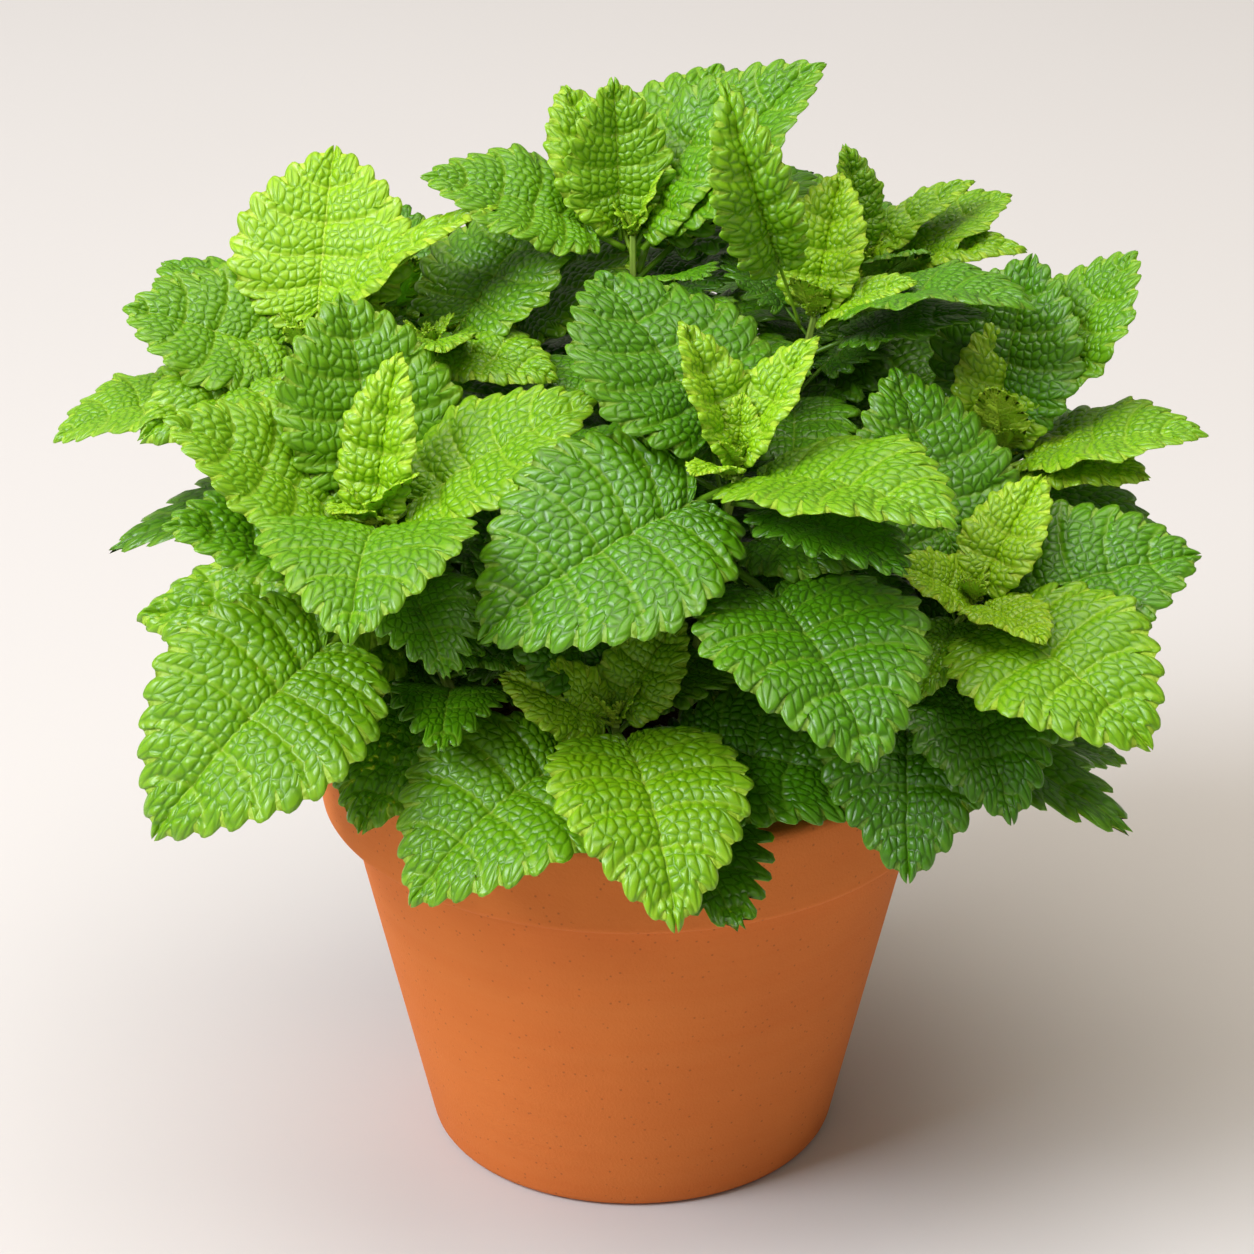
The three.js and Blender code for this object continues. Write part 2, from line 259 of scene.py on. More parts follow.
def rounded(corners, steps=6):
    """Rounds each corner (r, z, radius) of a closed outline with an arc through its two sides."""
    outline = []
    for i, (r, z, radius) in enumerate(corners):
        here = np.array([r, z])
        before, after = (np.array(corners[(i + k) % len(corners)][:2]) - here for k in (-1, 1))
        cut = min(radius, 0.45 * np.linalg.norm(before), 0.45 * np.linalg.norm(after))
        start, end = here + unit(before) * cut, here + unit(after) * cut
        for t in np.linspace(0, 1, steps):
            outline.append((1 - t) ** 2 * start + 2 * t * (1 - t) * here + t * t * end)
    return np.array(outline)


def wall_radius(z):
    """Outer radius of the tapered wall below the band."""
    top = rim_radius - BAND_TAPER - BAND_STEP
    return base_radius + (top - base_radius) * z / (pot_height - BAND_HEIGHT)


def turned(outline, sides, waver):
    """Turns a closed outline of (r, z) round the pot's axis. waver(angle, z) moves the wall in or out."""
    angles = np.linspace(0, 2 * math.pi, sides, endpoint=False)
    radius = outline[:, 0][None, :] + waver(angles[:, None], outline[:, 1][None, :])
    height = np.broadcast_to(outline[:, 1], radius.shape)
    points = np.stack([axis_x + radius * np.cos(angles)[:, None],
                       axis_y + radius * np.sin(angles)[:, None], height], -1).reshape(-1, 3)
    side, at = np.meshgrid(np.arange(sides), np.arange(len(outline)), indexing="ij")
    index = lambda s, a: (s % sides) * len(outline) + a % len(outline)
    quads = np.stack([index(side, at), index(side + 1, at), index(side + 1, at + 1), index(side, at + 1)], -1)
    return points, quads.reshape(-1, 4)


def densely(outline, gap):
    """Adds points along the straight stretches of a closed outline, no further apart than gap."""
    dense = []
    for here, there in zip(outline, np.roll(outline, -1, axis=0)):
        count = max(1, math.ceil(np.linalg.norm(there - here) / gap))
        dense.extend(here + (there - here) * i / count for i in range(count))
    return np.array(dense)


band_low = pot_height - BAND_HEIGHT
inner_top = rim_radius - LIP_WIDTH
pot_corners = [
    (DRAIN_RADIUS, 0, 1.2), (base_radius, 0, FOOT_ROUNDING), (wall_radius(band_low), band_low, 1.6),
    (rim_radius - BAND_TAPER, band_low, 1.8), (rim_radius, pot_height, 3.0),
    (inner_top, pot_height, 3.0), (wall_radius(band_low) - WALL, band_low - 6, 6.0),
    (wall_radius(FLOOR) - WALL, FLOOR, 5.0), (DRAIN_RADIUS, FLOOR, 1.2),
]
waver = lambda angle, z: 0.12 * np.sin(2 * angle + 0.6 + z / 60) + 0.07 * np.sin(5 * angle - z / 35)
pot_points, pot_faces = turned(densely(rounded(pot_corners), 5.0), POT_SIDES, waver)
piece_of("clay_pot", mesh_of("clay_pot", pot_points, [pot_faces]), clay, "terracotta", "terracotta_pot")
print("pot:", len(pot_faces), "faces, foot radius", round(base_radius, 1))

# %% [markdown]
# ## The soil
# Potting mix is dark, moist and crumbly. The frame's soil keeps its place and gets a granular finish, and
# Geometry Nodes scatter loose crumbs over its top: points spread over the upward faces, one small lump on
# each, turned and sized at random from a fixed seed.

# %% Soil material
def potting_mix():
    material, tree = new_material("moist potting mix")
    place = add(tree, "ShaderNodeTexCoord").outputs["Object"]
    clump = add(tree, "ShaderNodeTexNoise", sockets={
        "Vector": place, "Scale": 220.0, "Detail": 5.0, "Roughness": 0.7})
    fibre = add(tree, "ShaderNodeTexNoise", sockets={
        "Vector": place, "Scale": 900.0, "Detail": 3.0, "Roughness": 0.6})
    body = mixed(tree, clump.outputs["Fac"], "#1d150f", "#4a3626")
    body = mixed(tree, fibre.outputs["Fac"], body, mixed(tree, 0.6, body, "#6b5138"))
    bump = add(tree, "ShaderNodeBump", sockets={
        "Strength": 0.8, "Distance": 0.001, "Height": clump.outputs["Fac"]})
    shader = add(tree, "ShaderNodeBsdfPrincipled", sockets={
        "Base Color": body, "Roughness": 0.95, "IOR": 1.4, "Specular IOR Level": 0.2})
    finish_material(tree, shader, bump)
    return material


mix = potting_mix()
nodes["potting_soil"].data.materials[0] = mix
print("made", mix.name)

# %% A tree with named inputs, and its result as a plain mesh
def node_tree(name, inputs):
    """A Geometry Nodes tree with its input and output, and named inputs as (kind of socket, value)."""
    tree = bpy.data.node_groups.new(name, "GeometryNodeTree")
    tree.interface.new_socket("Geometry", in_out="INPUT", socket_type="NodeSocketGeometry")
    for label, (kind, value) in inputs.items():
        socket = tree.interface.new_socket(label, in_out="INPUT", socket_type=kind)
        if value is not None:
            socket.default_value = value
    tree.interface.new_socket("Geometry", in_out="OUTPUT", socket_type="NodeSocketGeometry")
    return tree, add(tree, "NodeGroupInput").outputs


def grown(carrier, tree, values=None):
    """The plain mesh that a tree makes from a carrier mesh. values are inputs set by name."""
    holder = in_scene("holder", carrier)
    modifier = holder.modifiers.new("nodes", "NODES")
    modifier.node_group = tree
    sockets = {item.name: item.identifier for item in tree.interface.items_tree if item.in_out == "INPUT"}
    for label, value in (values or {}).items():
        modifier[sockets[label]] = value
    graph = bpy.context.evaluated_depsgraph_get()
    made = bpy.data.meshes.new_from_object(holder.evaluated_get(graph), depsgraph=graph)
    holder.modifiers.clear()
    bpy.data.objects.remove(holder)
    return made


# %% Scatter the crumbs
def crumb_tree():
    tree, given = node_tree("crumbs on soil", {
        "Crumbs per square metre": ("NodeSocketFloat", 60000.0), "Crumb size": ("NodeSocketFloat", 0.0022),
        "Seed": ("NodeSocketInt", 4), "Finish": ("NodeSocketMaterial", mix)})
    facing = add(tree, "GeometryNodeInputNormal")
    upward = add(tree, "ShaderNodeSeparateXYZ", sockets={"Vector": facing.outputs["Normal"]})
    level = add(tree, "FunctionNodeCompare", {"operation": "GREATER_THAN"}, {
        0: upward.outputs["Z"], 1: 0.7})
    spots = add(tree, "GeometryNodeDistributePointsOnFaces", sockets={
        "Mesh": given["Geometry"], "Selection": level.outputs["Result"],
        "Density": given["Crumbs per square metre"], "Seed": given["Seed"]})
    lump = add(tree, "GeometryNodeMeshIcoSphere", sockets={"Radius": given["Crumb size"], "Subdivisions": 1})
    turn = add(tree, "FunctionNodeRandomValue", {"data_type": "FLOAT_VECTOR"}, {
        0: (0, 0, 0), 1: (6.28, 6.28, 6.28), "Seed": 11})
    size = add(tree, "FunctionNodeRandomValue", {"data_type": "FLOAT_VECTOR"}, {
        0: (0.25, 0.2, 0.2), 1: (1.1, 0.8, 0.7), "Seed": 12})
    crumbs = add(tree, "GeometryNodeInstanceOnPoints", sockets={
        "Points": spots.outputs["Points"], "Instance": lump.outputs["Mesh"],
        "Rotation": turn.outputs["Value"], "Scale": size.outputs["Value"]})
    real = add(tree, "GeometryNodeRealizeInstances", sockets={"Geometry": crumbs.outputs["Instances"]})
    done = add(tree, "GeometryNodeSetMaterial", sockets={
        "Geometry": real.outputs["Geometry"], "Material": given["Finish"]})
    add(tree, "NodeGroupOutput", sockets={"Geometry": done.outputs["Geometry"]})
    return tree


crumbs = grown(nodes["potting_soil"].data.copy(), crumb_tree())
piece_of("soil_crumbs", crumbs, mix, "soil")
print("crumbs:", len(crumbs.polygons), "faces")

# %% [markdown]
# ## The stems
# A mint's stem is square with a shallow groove down each face, pale green and finely hairy. Each stem's
# middle line is read from its solid in the frame: its vertices fall into rings along its length. Geometry
# Nodes then sweep a rounded square along that line, taper it to the tip and set short hairs on it.

# %% Read the stems' middle lines
STEM_RINGS = 7


def middle_line(node):
    """Cubic polynomials for x, y and z of a stem's middle line, over its share of length from the foot."""
    points = points_of(node)
    low, high = points[points[:, 2].argmin()], points[points[:, 2].argmax()]
    along = (points - low) @ unit(high - low)
    order = along.argsort()
    gaps = np.sort(np.argsort(np.diff(along[order]))[1 - STEM_RINGS :]) + 1
    rings = np.array([points[ring].mean(0) for ring in np.split(order, gaps)])
    length = np.r_[0, np.cumsum(np.linalg.norm(np.diff(rings, axis=0), axis=1))]
    return [np.polyfit(length / length[-1], rings[:, k], 3) for k in range(3)]


stem_lines = {name[5:]: middle_line(name) for name in sorted(nodes) if name.startswith("stem_")}


def stem_point(shoot, share):
    return np.array([np.polyval(line, share) for line in stem_lines[shoot]])


def stem_heading(shoot, share):
    return unit(np.array([np.polyval(np.polyder(line), share) for line in stem_lines[shoot]]))


for shoot in stem_lines:
    print(shoot, "from", stem_point(shoot, 0).round(1), "to", stem_point(shoot, 1).round(1))

# %% Stem material
def stem_skin():
    material, tree = new_material("green stem skin")
    place = add(tree, "ShaderNodeTexCoord").outputs["Object"]
    streak = add(tree, "ShaderNodeTexNoise", sockets={
        "Vector": place, "Scale": 300.0, "Detail": 3.0, "Roughness": 0.5})
    body = mixed(tree, streak.outputs["Fac"], "#7d9f2e", "#a9c659")
    shader = add(tree, "ShaderNodeBsdfPrincipled", sockets={
        "Base Color": body, "Roughness": 0.5, "IOR": 1.42, "Subsurface Weight": 0.2,
        "Subsurface Radius": (0.8, 1.0, 0.25), "Subsurface Scale": 0.0012})
    finish_material(tree, shader)
    return material


green_stem = stem_skin()
print("made", green_stem.name)

# %% Sweep the stems
STEM_WIDTH = 3.0
STEM_POINTS = 28
PROFILE_POINTS = 24


def stem_profile():
    """A rounded square with a groove down each face, as a closed ring of edges half a unit in radius."""
    angles = np.linspace(0, 2 * math.pi, PROFILE_POINTS, endpoint=False)
    square = (np.abs(np.cos(angles)) ** 4 + np.abs(np.sin(angles)) ** 4) ** -0.25
    radius = 0.5 * square * (1 - 0.1 * np.cos(2 * angles) ** 8)
    ring = bpy.data.meshes.new("profile")
    points = [(r * math.cos(a), r * math.sin(a), 0) for r, a in zip(radius, angles)]
    ring.from_pydata(points, [(i, (i + 1) % PROFILE_POINTS) for i in range(PROFILE_POINTS)], [])
    return in_scene("profile", ring)


def stem_tree(profile):
    tree, given = node_tree("hairy square stem", {
        "Width": ("NodeSocketFloat", STEM_WIDTH * MM), "Tip share": ("NodeSocketFloat", 0.5),
        "Hairs per square metre": ("NodeSocketFloat", 300000.0), "Hair length": ("NodeSocketFloat", 0.0007),
        "Seed": ("NodeSocketInt", 3), "Finish": ("NodeSocketMaterial", green_stem)})
    line = add(tree, "GeometryNodeMeshToCurve", sockets={"Mesh": given["Geometry"]})
    share = add(tree, "GeometryNodeSplineParameter").outputs["Factor"]
    taper = add(tree, "ShaderNodeMapRange", sockets={
        "Value": share, "From Min": 0.0, "From Max": 1.0, "To Min": 1.0, "To Max": given["Tip share"]})
    size = add(tree, "ShaderNodeMath", {"operation": "MULTIPLY"}, {
        0: taper.outputs["Result"], 1: given["Width"]})
    outline = add(tree, "GeometryNodeObjectInfo", sockets={"Object": profile})
    ring = add(tree, "GeometryNodeMeshToCurve", sockets={"Mesh": outline.outputs["Geometry"]})
    swept = add(tree, "GeometryNodeCurveToMesh", sockets={
        "Curve": line.outputs["Curve"], "Profile Curve": ring.outputs["Curve"],
        "Scale": size.outputs["Value"], "Fill Caps": True})
    spots = add(tree, "GeometryNodeDistributePointsOnFaces", sockets={
        "Mesh": swept.outputs["Mesh"], "Density": given["Hairs per square metre"], "Seed": given["Seed"]})
    hair = add(tree, "GeometryNodeMeshCone", sockets={
        "Vertices": 3, "Radius Bottom": 0.00005, "Depth": given["Hair length"]})
    hairs = add(tree, "GeometryNodeInstanceOnPoints", sockets={
        "Points": spots.outputs["Points"], "Instance": hair.outputs["Mesh"],
        "Rotation": spots.outputs["Rotation"]})
    joined = add(tree, "GeometryNodeJoinGeometry", sockets={"Geometry": hairs.outputs["Instances"]})
    tree.links.new(swept.outputs["Mesh"], joined.inputs["Geometry"])
    smooth = add(tree, "GeometryNodeSetShadeSmooth", sockets={"Geometry": joined.outputs["Geometry"]})
    real = add(tree, "GeometryNodeRealizeInstances", sockets={"Geometry": smooth.outputs["Geometry"]})
    done = add(tree, "GeometryNodeSetMaterial", sockets={
        "Geometry": real.outputs["Geometry"], "Material": given["Finish"]})
    add(tree, "NodeGroupOutput", sockets={"Geometry": done.outputs["Geometry"]})
    return tree


profile = stem_profile()
sweep = stem_tree(profile)
for shoot in stem_lines:
    line = bpy.data.meshes.new("line")
    line.from_pydata([stem_point(shoot, share) * MM for share in np.linspace(0, 1, STEM_POINTS)],
                     [(i, i + 1) for i in range(STEM_POINTS - 1)], [])
    piece_of("square_stem_" + shoot, grown(line, sweep), green_stem, "stem", "stem_" + shoot)
bpy.data.objects.remove(profile)
print("swept", len(stem_lines), "stems")

# %% [markdown]
# ## One leaf, laid out flat
# A lemon balm blade is egg-shaped with a shallow heart-shaped base and ten or so rounded teeth a side. Its
# side veins leave the midrib at a slant and curve to the margin, one to every second tooth. The leaf is
# laid out as a grid whose rows run from the midrib to the margin the way the side veins do, so a vein is
# simply a row, and a tooth is a few rows. Two more numbers, kept as the leaf's UV map, say how far a point
# lies past a vein and how far it is from the midrib, counted in the small cells that quilt the blade.

# %% The outline of a blade
BROADEST = 0.37
FULLNESS = 0.6
LOBE = 0.13
TOOTH_OUT, TOOTH_IN, TOOTH_LEAN = 0.64, 0.32, 0.24


def half_width(share):
    """A plain blade's half width over its greatest, from the stalk, 0, to the tip, 1."""
    return np.sin(np.pi * share ** (math.log(0.5) / math.log(BROADEST))) ** (FULLNESS + 0.2 * share)


def blade_margin(length, width, teeth, steps_a_tooth):
    """One margin from stalk to tip: its points, the rows' shares along it, their numbers and tooth steps."""
    share = np.linspace(0, 1, 1500) ** 1.8
    half = half_width(share)
    notch = 1 - (1 - np.minimum(1, half / 0.45)) ** 2
    x = length * (share - LOBE * (1 - share) ** 4 * notch)
    y = width / 2 * half
    run = np.r_[0, np.cumsum(np.hypot(np.diff(x), np.diff(y)))]
    peak = 5 * steps_a_tooth // 8
    plain = steps_a_tooth + peak % 2
    rows = np.arange(-plain, teeth * steps_a_tooth + peak + 1)
    even = np.interp(rows, [-plain, 0, rows[-1]], [0, 0.1, 1])
    x, y = np.interp(even, run / run[-1], x), np.interp(even, run / run[-1], y)
    dx, dy = np.gradient(x), np.gradient(y)
    out = np.stack([-dy, dx], -1) / np.maximum(np.hypot(dx, dy), 1e-9)[:, None]
    phase = np.maximum(rows, 0) / steps_a_tooth % 1
    top = peak / steps_a_tooth
    rising = np.sqrt(1 - (1 - np.minimum(phase / top, 1)) ** 2)
    tooth = rising * np.sqrt(1 - np.clip((phase - top) / (1 - top), 0, 1) ** 2)
    size = run[-1] / teeth * smooth_step(0.02, 0.2, even) * (1 - 0.35 * smooth_step(0.8, 1, even))
    forward = np.stack([out[:, 1], -out[:, 0]], -1)
    step = out * (TOOTH_OUT * tooth - TOOTH_IN)[:, None] + forward * (TOOTH_LEAN * tooth)[:, None]
    return np.stack([x, y], -1), even, rows - peak, step * size[:, None]


print("halfway along, a blade has", round(float(half_width(0.5)), 2), "of its greatest width")

# %% The grid of a blade
CELLS_A_VEIN = 4


def blade_grid(length, width, steps_a_tooth, columns):
    """Half a blade in the flat, as arrays of rows by columns: x, y, rim, and the two counts of cells."""
    teeth = round(5 + length / 8)
    cell = 0.8 + length / 34
    margin, even, rows, step = blade_margin(length, width, teeth, steps_a_tooth)
    slant = np.clip((even - 0.09) / 0.91, 0, 1) ** 1.3
    rib = np.stack([0.985 * length * slant, np.zeros(len(even))], -1)
    across = np.linspace(0, 1, columns)[None, :, None]
    reach = np.linalg.norm(margin - rib, axis=1)
    bend = (margin + rib) / 2 - np.stack([0.13 * reach, np.zeros(len(even))], -1)
    flat = ((1 - across) ** 2 * rib[:, None] + 2 * across * (1 - across) * bend[:, None]
            + across**2 * margin[:, None])
    run = np.linalg.norm(np.diff(flat, axis=1), axis=2)
    run = np.concatenate([np.zeros((len(even), 1)), np.cumsum(run, axis=1)], axis=1)
    toothed = flat + step[:, None] * across**5
    past_vein = np.broadcast_to((rows / (2 * steps_a_tooth) * CELLS_A_VEIN)[:, None], run.shape)
    rim = np.broadcast_to(across[..., 0] ** 10, run.shape)
    return {"x": toothed[..., 0], "y": toothed[..., 1], "rim": rim, "past vein": past_vein,
            "from rib": run / cell}


print("half a blade's grid:", blade_grid(48, 42, 8, 33)["x"].shape)

# %% [markdown]
# ## From a flat grid to a leaf in space
# A leaf in the air is a strip that bends along its midrib, folds a little like an open book and may turn.
# That is a line of height over distance from its joint, a slope to each side and a frame of three axes.
# The grid is laid on that surface, doubled into a thin closed shell, and given its stalk and raised rib.

# %% Where a leaf lies
def lying(base, forward, up, length, width, stalk, rise, fold, twist=0.0):
    """A leaf's place: its joint, its axes, sizes, height coefficients along it, fold and twist."""
    forward = unit(forward)
    side = unit(np.cross(up, forward))
    return {"base": base, "axes": np.stack([forward, side, np.cross(forward, side)]), "length": length,
            "width": width, "stalk": stalk, "rise": rise, "fold": fold, "twist": twist}


def on_leaf(place, x, y, lift=0.0):
    """Points in space over flat leaf coordinates, x from the joint along the leaf and y to its side."""
    height = sum(rise * x ** (k + 1) for k, rise in enumerate(place["rise"]))
    height = height + place["fold"] * np.abs(y) + place["twist"] * x * y
    local = np.stack([x, y, height + lift], -1)
    return place["base"] + local @ place["axes"]


# %% A closed leaf from its place and its grid
BLADE_THICKNESS = 0.36
RIPPLE = 0.9


def leaf_surface(place, grid, tone, rng, ripple=RIPPLE):
    """Points, faces and layers of one leaf: a thin shell, and a stalk that runs on below it as its rib."""
    whole = lambda part, sign=1: np.concatenate([sign * part[:, :0:-1], part], axis=1)
    x, y = whole(grid["x"]) + place["stalk"], whole(grid["y"], -1)
    rim, past_vein, from_rib = whole(grid["rim"]), whole(grid["past vein"]), whole(grid["from rib"], -1)
    share = np.clip((x - place["stalk"]) / place["length"], 0, 1)
    outward = np.abs(y) / (place["width"] / 2)
    phase = rng.uniform(0, 6.28, 3)
    wave = ripple * outward**3 * (np.sin(15 * share + phase[0] + np.sign(y) * 1.3) - 0.35)
    wave += 0.5 * ripple * np.sin(5 * share + phase[1]) * outward * np.sign(y)
    middle = on_leaf(place, x, y, wave)
    along, aside = np.gradient(middle, axis=0), np.gradient(middle, axis=1)
    normal = unit_rows(np.cross(along, aside))
    normal[[0, -1]] = normal[[1, -2], x.shape[1] // 2][:, None]
    half = (BLADE_THICKNESS / 2 * (1 - 0.5 * rim))[..., None]
    lift = normal * ((1 - rim) * place["length"] / 48)[..., None]
    uv = np.stack([past_vein + CELLS_A_VEIN * rng.integers(0, 300), from_rib], -1)
    fields = {"rim": rim, "lift": lift, "uv": uv}
    shell, faces, loops, count = [], [], [], 0
    kept = {label: [] for label in (*fields, "under")}
    for under, gap in ((0, 1), (1, 2)):
        sheet = (middle + (1 - 2 * under) * half * normal)[::gap, ::gap]
        tall, wide = sheet.shape[:2]
        keep = np.ones((tall, wide), bool)
        keep[[0, -1]] = np.arange(wide) == wide // 2
        index = count + np.cumsum(keep.ravel()).reshape(tall, wide) - 1
        index[0], index[-1] = index[0, wide // 2], index[-1, wide // 2]
        quads = np.stack([index[:-1, :-1], index[1:, :-1], index[1:, 1:], index[:-1, 1:]], -1)
        fans = np.concatenate([quads[0][:, [0, 1, 2]], quads[-1][:, [0, 1, 3]]])
        quads = quads[1:-1].reshape(-1, 4)
        faces.append((quads[:, ::-1], fans[:, ::-1]) if under else (quads, fans))
        loops.append(np.concatenate([index[:-1, 0], index[:0:-1, -1]]))
        shell.append(sheet[keep])
        for label, field in fields.items():
            kept[label].append(field[::gap, ::gap][keep])
        kept["under"].append(np.full(keep.sum(), float(under)))
        count += keep.sum()
    first, between, last = loops[0][::2], loops[0][1::2], np.roll(loops[0][::2], -1)
    below, below_next = loops[1], np.roll(loops[1], -1)
    wall = [np.stack(corners, -1) for corners in (
        (first, below, between), (between, below, below_next), (between, below_next, last))]
    quads = np.concatenate([pair[0] for pair in faces])
    fans = np.concatenate([pair[1] for pair in faces] + wall)
    points = np.concatenate(shell)
    stalk_points, stalk_faces, stalk_rib = stalk_tube(place)
    quads = np.concatenate([quads, stalk_faces + len(points)])
    extra = len(stalk_points)
    kept = {label: np.concatenate(values + [np.zeros((extra, *values[0].shape[1:]))])
            for label, values in kept.items()}
    kept["under"][-extra:] = stalk_rib
    kept["uv"][-extra:] = (0.0, 0.0)
    points = np.concatenate([points, stalk_points])
    kept["tone"] = np.full(len(points), tone)
    return points, quads, fans, kept, kept.pop("uv")


def stalk_tube(place, sides=8, rings=18):
    """The leaf stalk, which goes on under the blade as a rib that thins towards the tip."""
    reach = place["stalk"] + 0.86 * place["length"]
    x = np.linspace(-1.6, reach, rings)
    on_blade = smooth_step(place["stalk"] - 2, place["stalk"] + 4, x)
    thick = 0.021 * place["width"] * (1 - 0.72 * smooth_step(place["stalk"], reach, x)) + 0.05
    line = on_leaf(place, x, 0 * x, 0.25 * on_blade - 0.75 * thick * on_blade)
    forward = unit_rows(np.gradient(line, axis=0))
    side = np.broadcast_to(place["axes"][1], forward.shape)
    up = unit_rows(np.cross(forward, side))
    angles = np.linspace(0, 2 * math.pi, sides, endpoint=False)
    round_line = np.cos(angles)[:, None] * side[:, None] + np.sin(angles)[:, None] * up[:, None]
    points = (line[:, None] + thick[:, None, None] * round_line).reshape(-1, 3)
    ring, spot = np.meshgrid(np.arange(rings - 1), np.arange(sides), indexing="ij")
    index = lambda r, k: r * sides + k % sides
    faces = np.stack([index(ring, spot), index(ring, spot + 1),
                      index(ring + 1, spot + 1), index(ring + 1, spot)], -1)
    ends = [np.arange(sides)[::-1], (rings - 1) * sides + np.arange(sides)]
    caps = np.array([[end[0], *end[k : k + 3]] for k in range(1, sides - 2, 2) for end in ends])
    return points, np.concatenate([faces.reshape(-1, 4), caps]), np.repeat(on_blade, sides)


def unit_rows(vectors):
    return vectors / np.maximum(np.linalg.norm(vectors, axis=-1, keepdims=True), 1e-9)


print("leaf shells are", BLADE_THICKNESS, "mm thick")

# %% [markdown]
# ## The leaf's skin
# A lemon balm leaf is satin: a thin waxy skin over cells that bulge, so each cell top carries a pale glint
# and each vein lies in a darker crease. Young leaves are lime, old ones deep green, undersides paler with
# light ribs. Light also comes through the blade, which subsurface scattering gives to a thin shell. The
# same few nodes find the creases for the colours here and, later, for the relief: a vein lies at every
# fourth whole number of the first UV count, the midrib at 0 of the second, and a Voronoi pattern of the two
# counts gives the small cells between, 2 to 2.5 mm wide on a full-grown leaf. The colours paint shade into
# the quilting: a darker green where the cells meet, and a lighter one on their tops.

# %% Nodes that find the creases of a blade
CELL_VARIETY = 0.8


def creases(tree, counts):
    """From a tree's UV counts: how far a point is, in cells, from a cell's edge, a vein and the midrib."""
    cells = add(tree, "ShaderNodeTexVoronoi", {"feature": "DISTANCE_TO_EDGE", "voronoi_dimensions": "2D"}, {
        "Vector": counts, "Scale": 1.0, "Randomness": CELL_VARIETY})
    split = add(tree, "ShaderNodeSeparateXYZ", sockets={"Vector": counts})
    vein = add(tree, "ShaderNodeMath", {"operation": "PINGPONG"}, {
        0: split.outputs["X"], 1: CELLS_A_VEIN / 2})
    rib = add(tree, "ShaderNodeMath", {"operation": "ABSOLUTE"}, {0: split.outputs["Y"]})
    return cells.outputs["Distance"], vein.outputs["Value"], rib.outputs["Value"]


def ramped(tree, value, reach, low=0.0, high=1.0):
    """A smooth climb from low to high as a value goes from 0 to its reach."""
    node = add(tree, "ShaderNodeMapRange", {"interpolation_type": "SMOOTHSTEP"}, {
        "Value": value, "From Min": 0.0, "From Max": reach, "To Min": low, "To Max": high})
    return node.outputs["Result"]


def summed(tree, terms):
    """The sum of sockets, each times its weight."""
    total = 0.0
    for value, weight in terms:
        node = add(tree, "ShaderNodeMath", {"operation": "MULTIPLY_ADD"}, {0: value, 1: weight, 2: total})
        total = node.outputs["Value"]
    return total


# %% Leaf material
def leaf_skin():
    material, tree = new_material("quilted leaf skin")
    layer = {name: add(tree, "ShaderNodeAttribute", {"attribute_name": name}).outputs["Fac"]
             for name in ("tone", "rim", "under")}
    place = add(tree, "ShaderNodeTexCoord").outputs["Object"]
    patch = add(tree, "ShaderNodeTexNoise", sockets={
        "Vector": place, "Scale": 90.0, "Detail": 3.0, "Roughness": 0.5}).outputs["Fac"]
    tone = add(tree, "ShaderNodeMath", {"operation": "MULTIPLY_ADD", "use_clamp": True}, {
        0: patch, 1: 0.24, 2: layer["tone"]}).outputs["Value"]

    def toned(name, stops):
        ramp = add(tree, "ShaderNodeValToRGB", sockets={"Fac": tone})
        ramp.name = name
        while len(ramp.color_ramp.elements) < len(stops):
            ramp.color_ramp.elements.new(0.5)
        for element, (place_on_ramp, code) in zip(ramp.color_ramp.elements, stops):
            element.position = place_on_ramp
            element.color = linear(code)
        return ramp.outputs["Color"]

    # Painted shade: the crease colours are darker greens where the cells meet, and the cell tops lighter
    # ones.
    painted_crease_shade = toned("creases", [(0.1, "#2e5c02"), (0.4, "#3e7302"), (0.7, "#558b03"), (1.0, "#70a305")])
    top = toned("cell tops", [(0.1, "#407a06"), (0.4, "#559007"), (0.7, "#6fa20b"), (1.0, "#8dbb12")])
    ribs = toned("ribs", [(0.1, "#588a1d"), (0.4, "#709f1e"), (0.7, "#89b427"), (1.0, "#a5ca36")])
    below = toned("undersides", [(0.1, "#5f8822"), (0.4, "#7aa228"), (0.7, "#94ba2e"), (1.0, "#accf31")])
    counts = add(tree, "ShaderNodeUVMap", {"uv_map": "UVMap"}).outputs["UV"]
    cell, vein, rib = creases(tree, counts)
    upper = mixed(tree, ramped(tree, cell, 0.2), painted_crease_shade, top)
    upper = mixed(tree, ramped(tree, vein, 0.3, 0.75, 0.0), upper, ribs)
    upper = mixed(tree, ramped(tree, rib, 0.26, 1.0, 0.0), upper, ribs)
    edge = add(tree, "ShaderNodeMath", {"operation": "MULTIPLY"}, {0: layer["rim"], 1: 0.45}).outputs["Value"]
    upper = mixed(tree, edge, upper, ribs)
    body = mixed(tree, layer["under"], upper, below)
    height = summed(tree, [(ramped(tree, cell, 0.25), 0.45), (ramped(tree, vein, 0.5), 0.5),
                           (ramped(tree, rib, 0.5), 0.5)])
    bump = add(tree, "ShaderNodeBump", sockets={"Strength": 0.7, "Distance": 0.0005, "Height": height})
    rough = add(tree, "ShaderNodeMapRange", sockets={
        "Value": layer["under"], "To Min": 0.32, "To Max": 0.5}).outputs["Result"]
    shader = add(tree, "ShaderNodeBsdfPrincipled", sockets={
        "Base Color": body, "Roughness": rough, "IOR": 1.45, "Specular IOR Level": 0.5,
        "Subsurface Weight": 0.35, "Subsurface Radius": (0.7, 1.0, 0.2), "Subsurface Scale": 0.001})
    finish_material(tree, shader, bump)
    return material


skin = leaf_skin()
print("made", skin.name)

# %% [markdown]
# ## The quilting
# The relief could be a bump in the material alone, but the real cells stand half a millimetre proud and
# show along every fold. So Geometry Nodes push each point of a blade outwards along the leaf's own upper
# side, which each leaf carries as the vector "lift": pillows between the side veins, and domes on the cells.

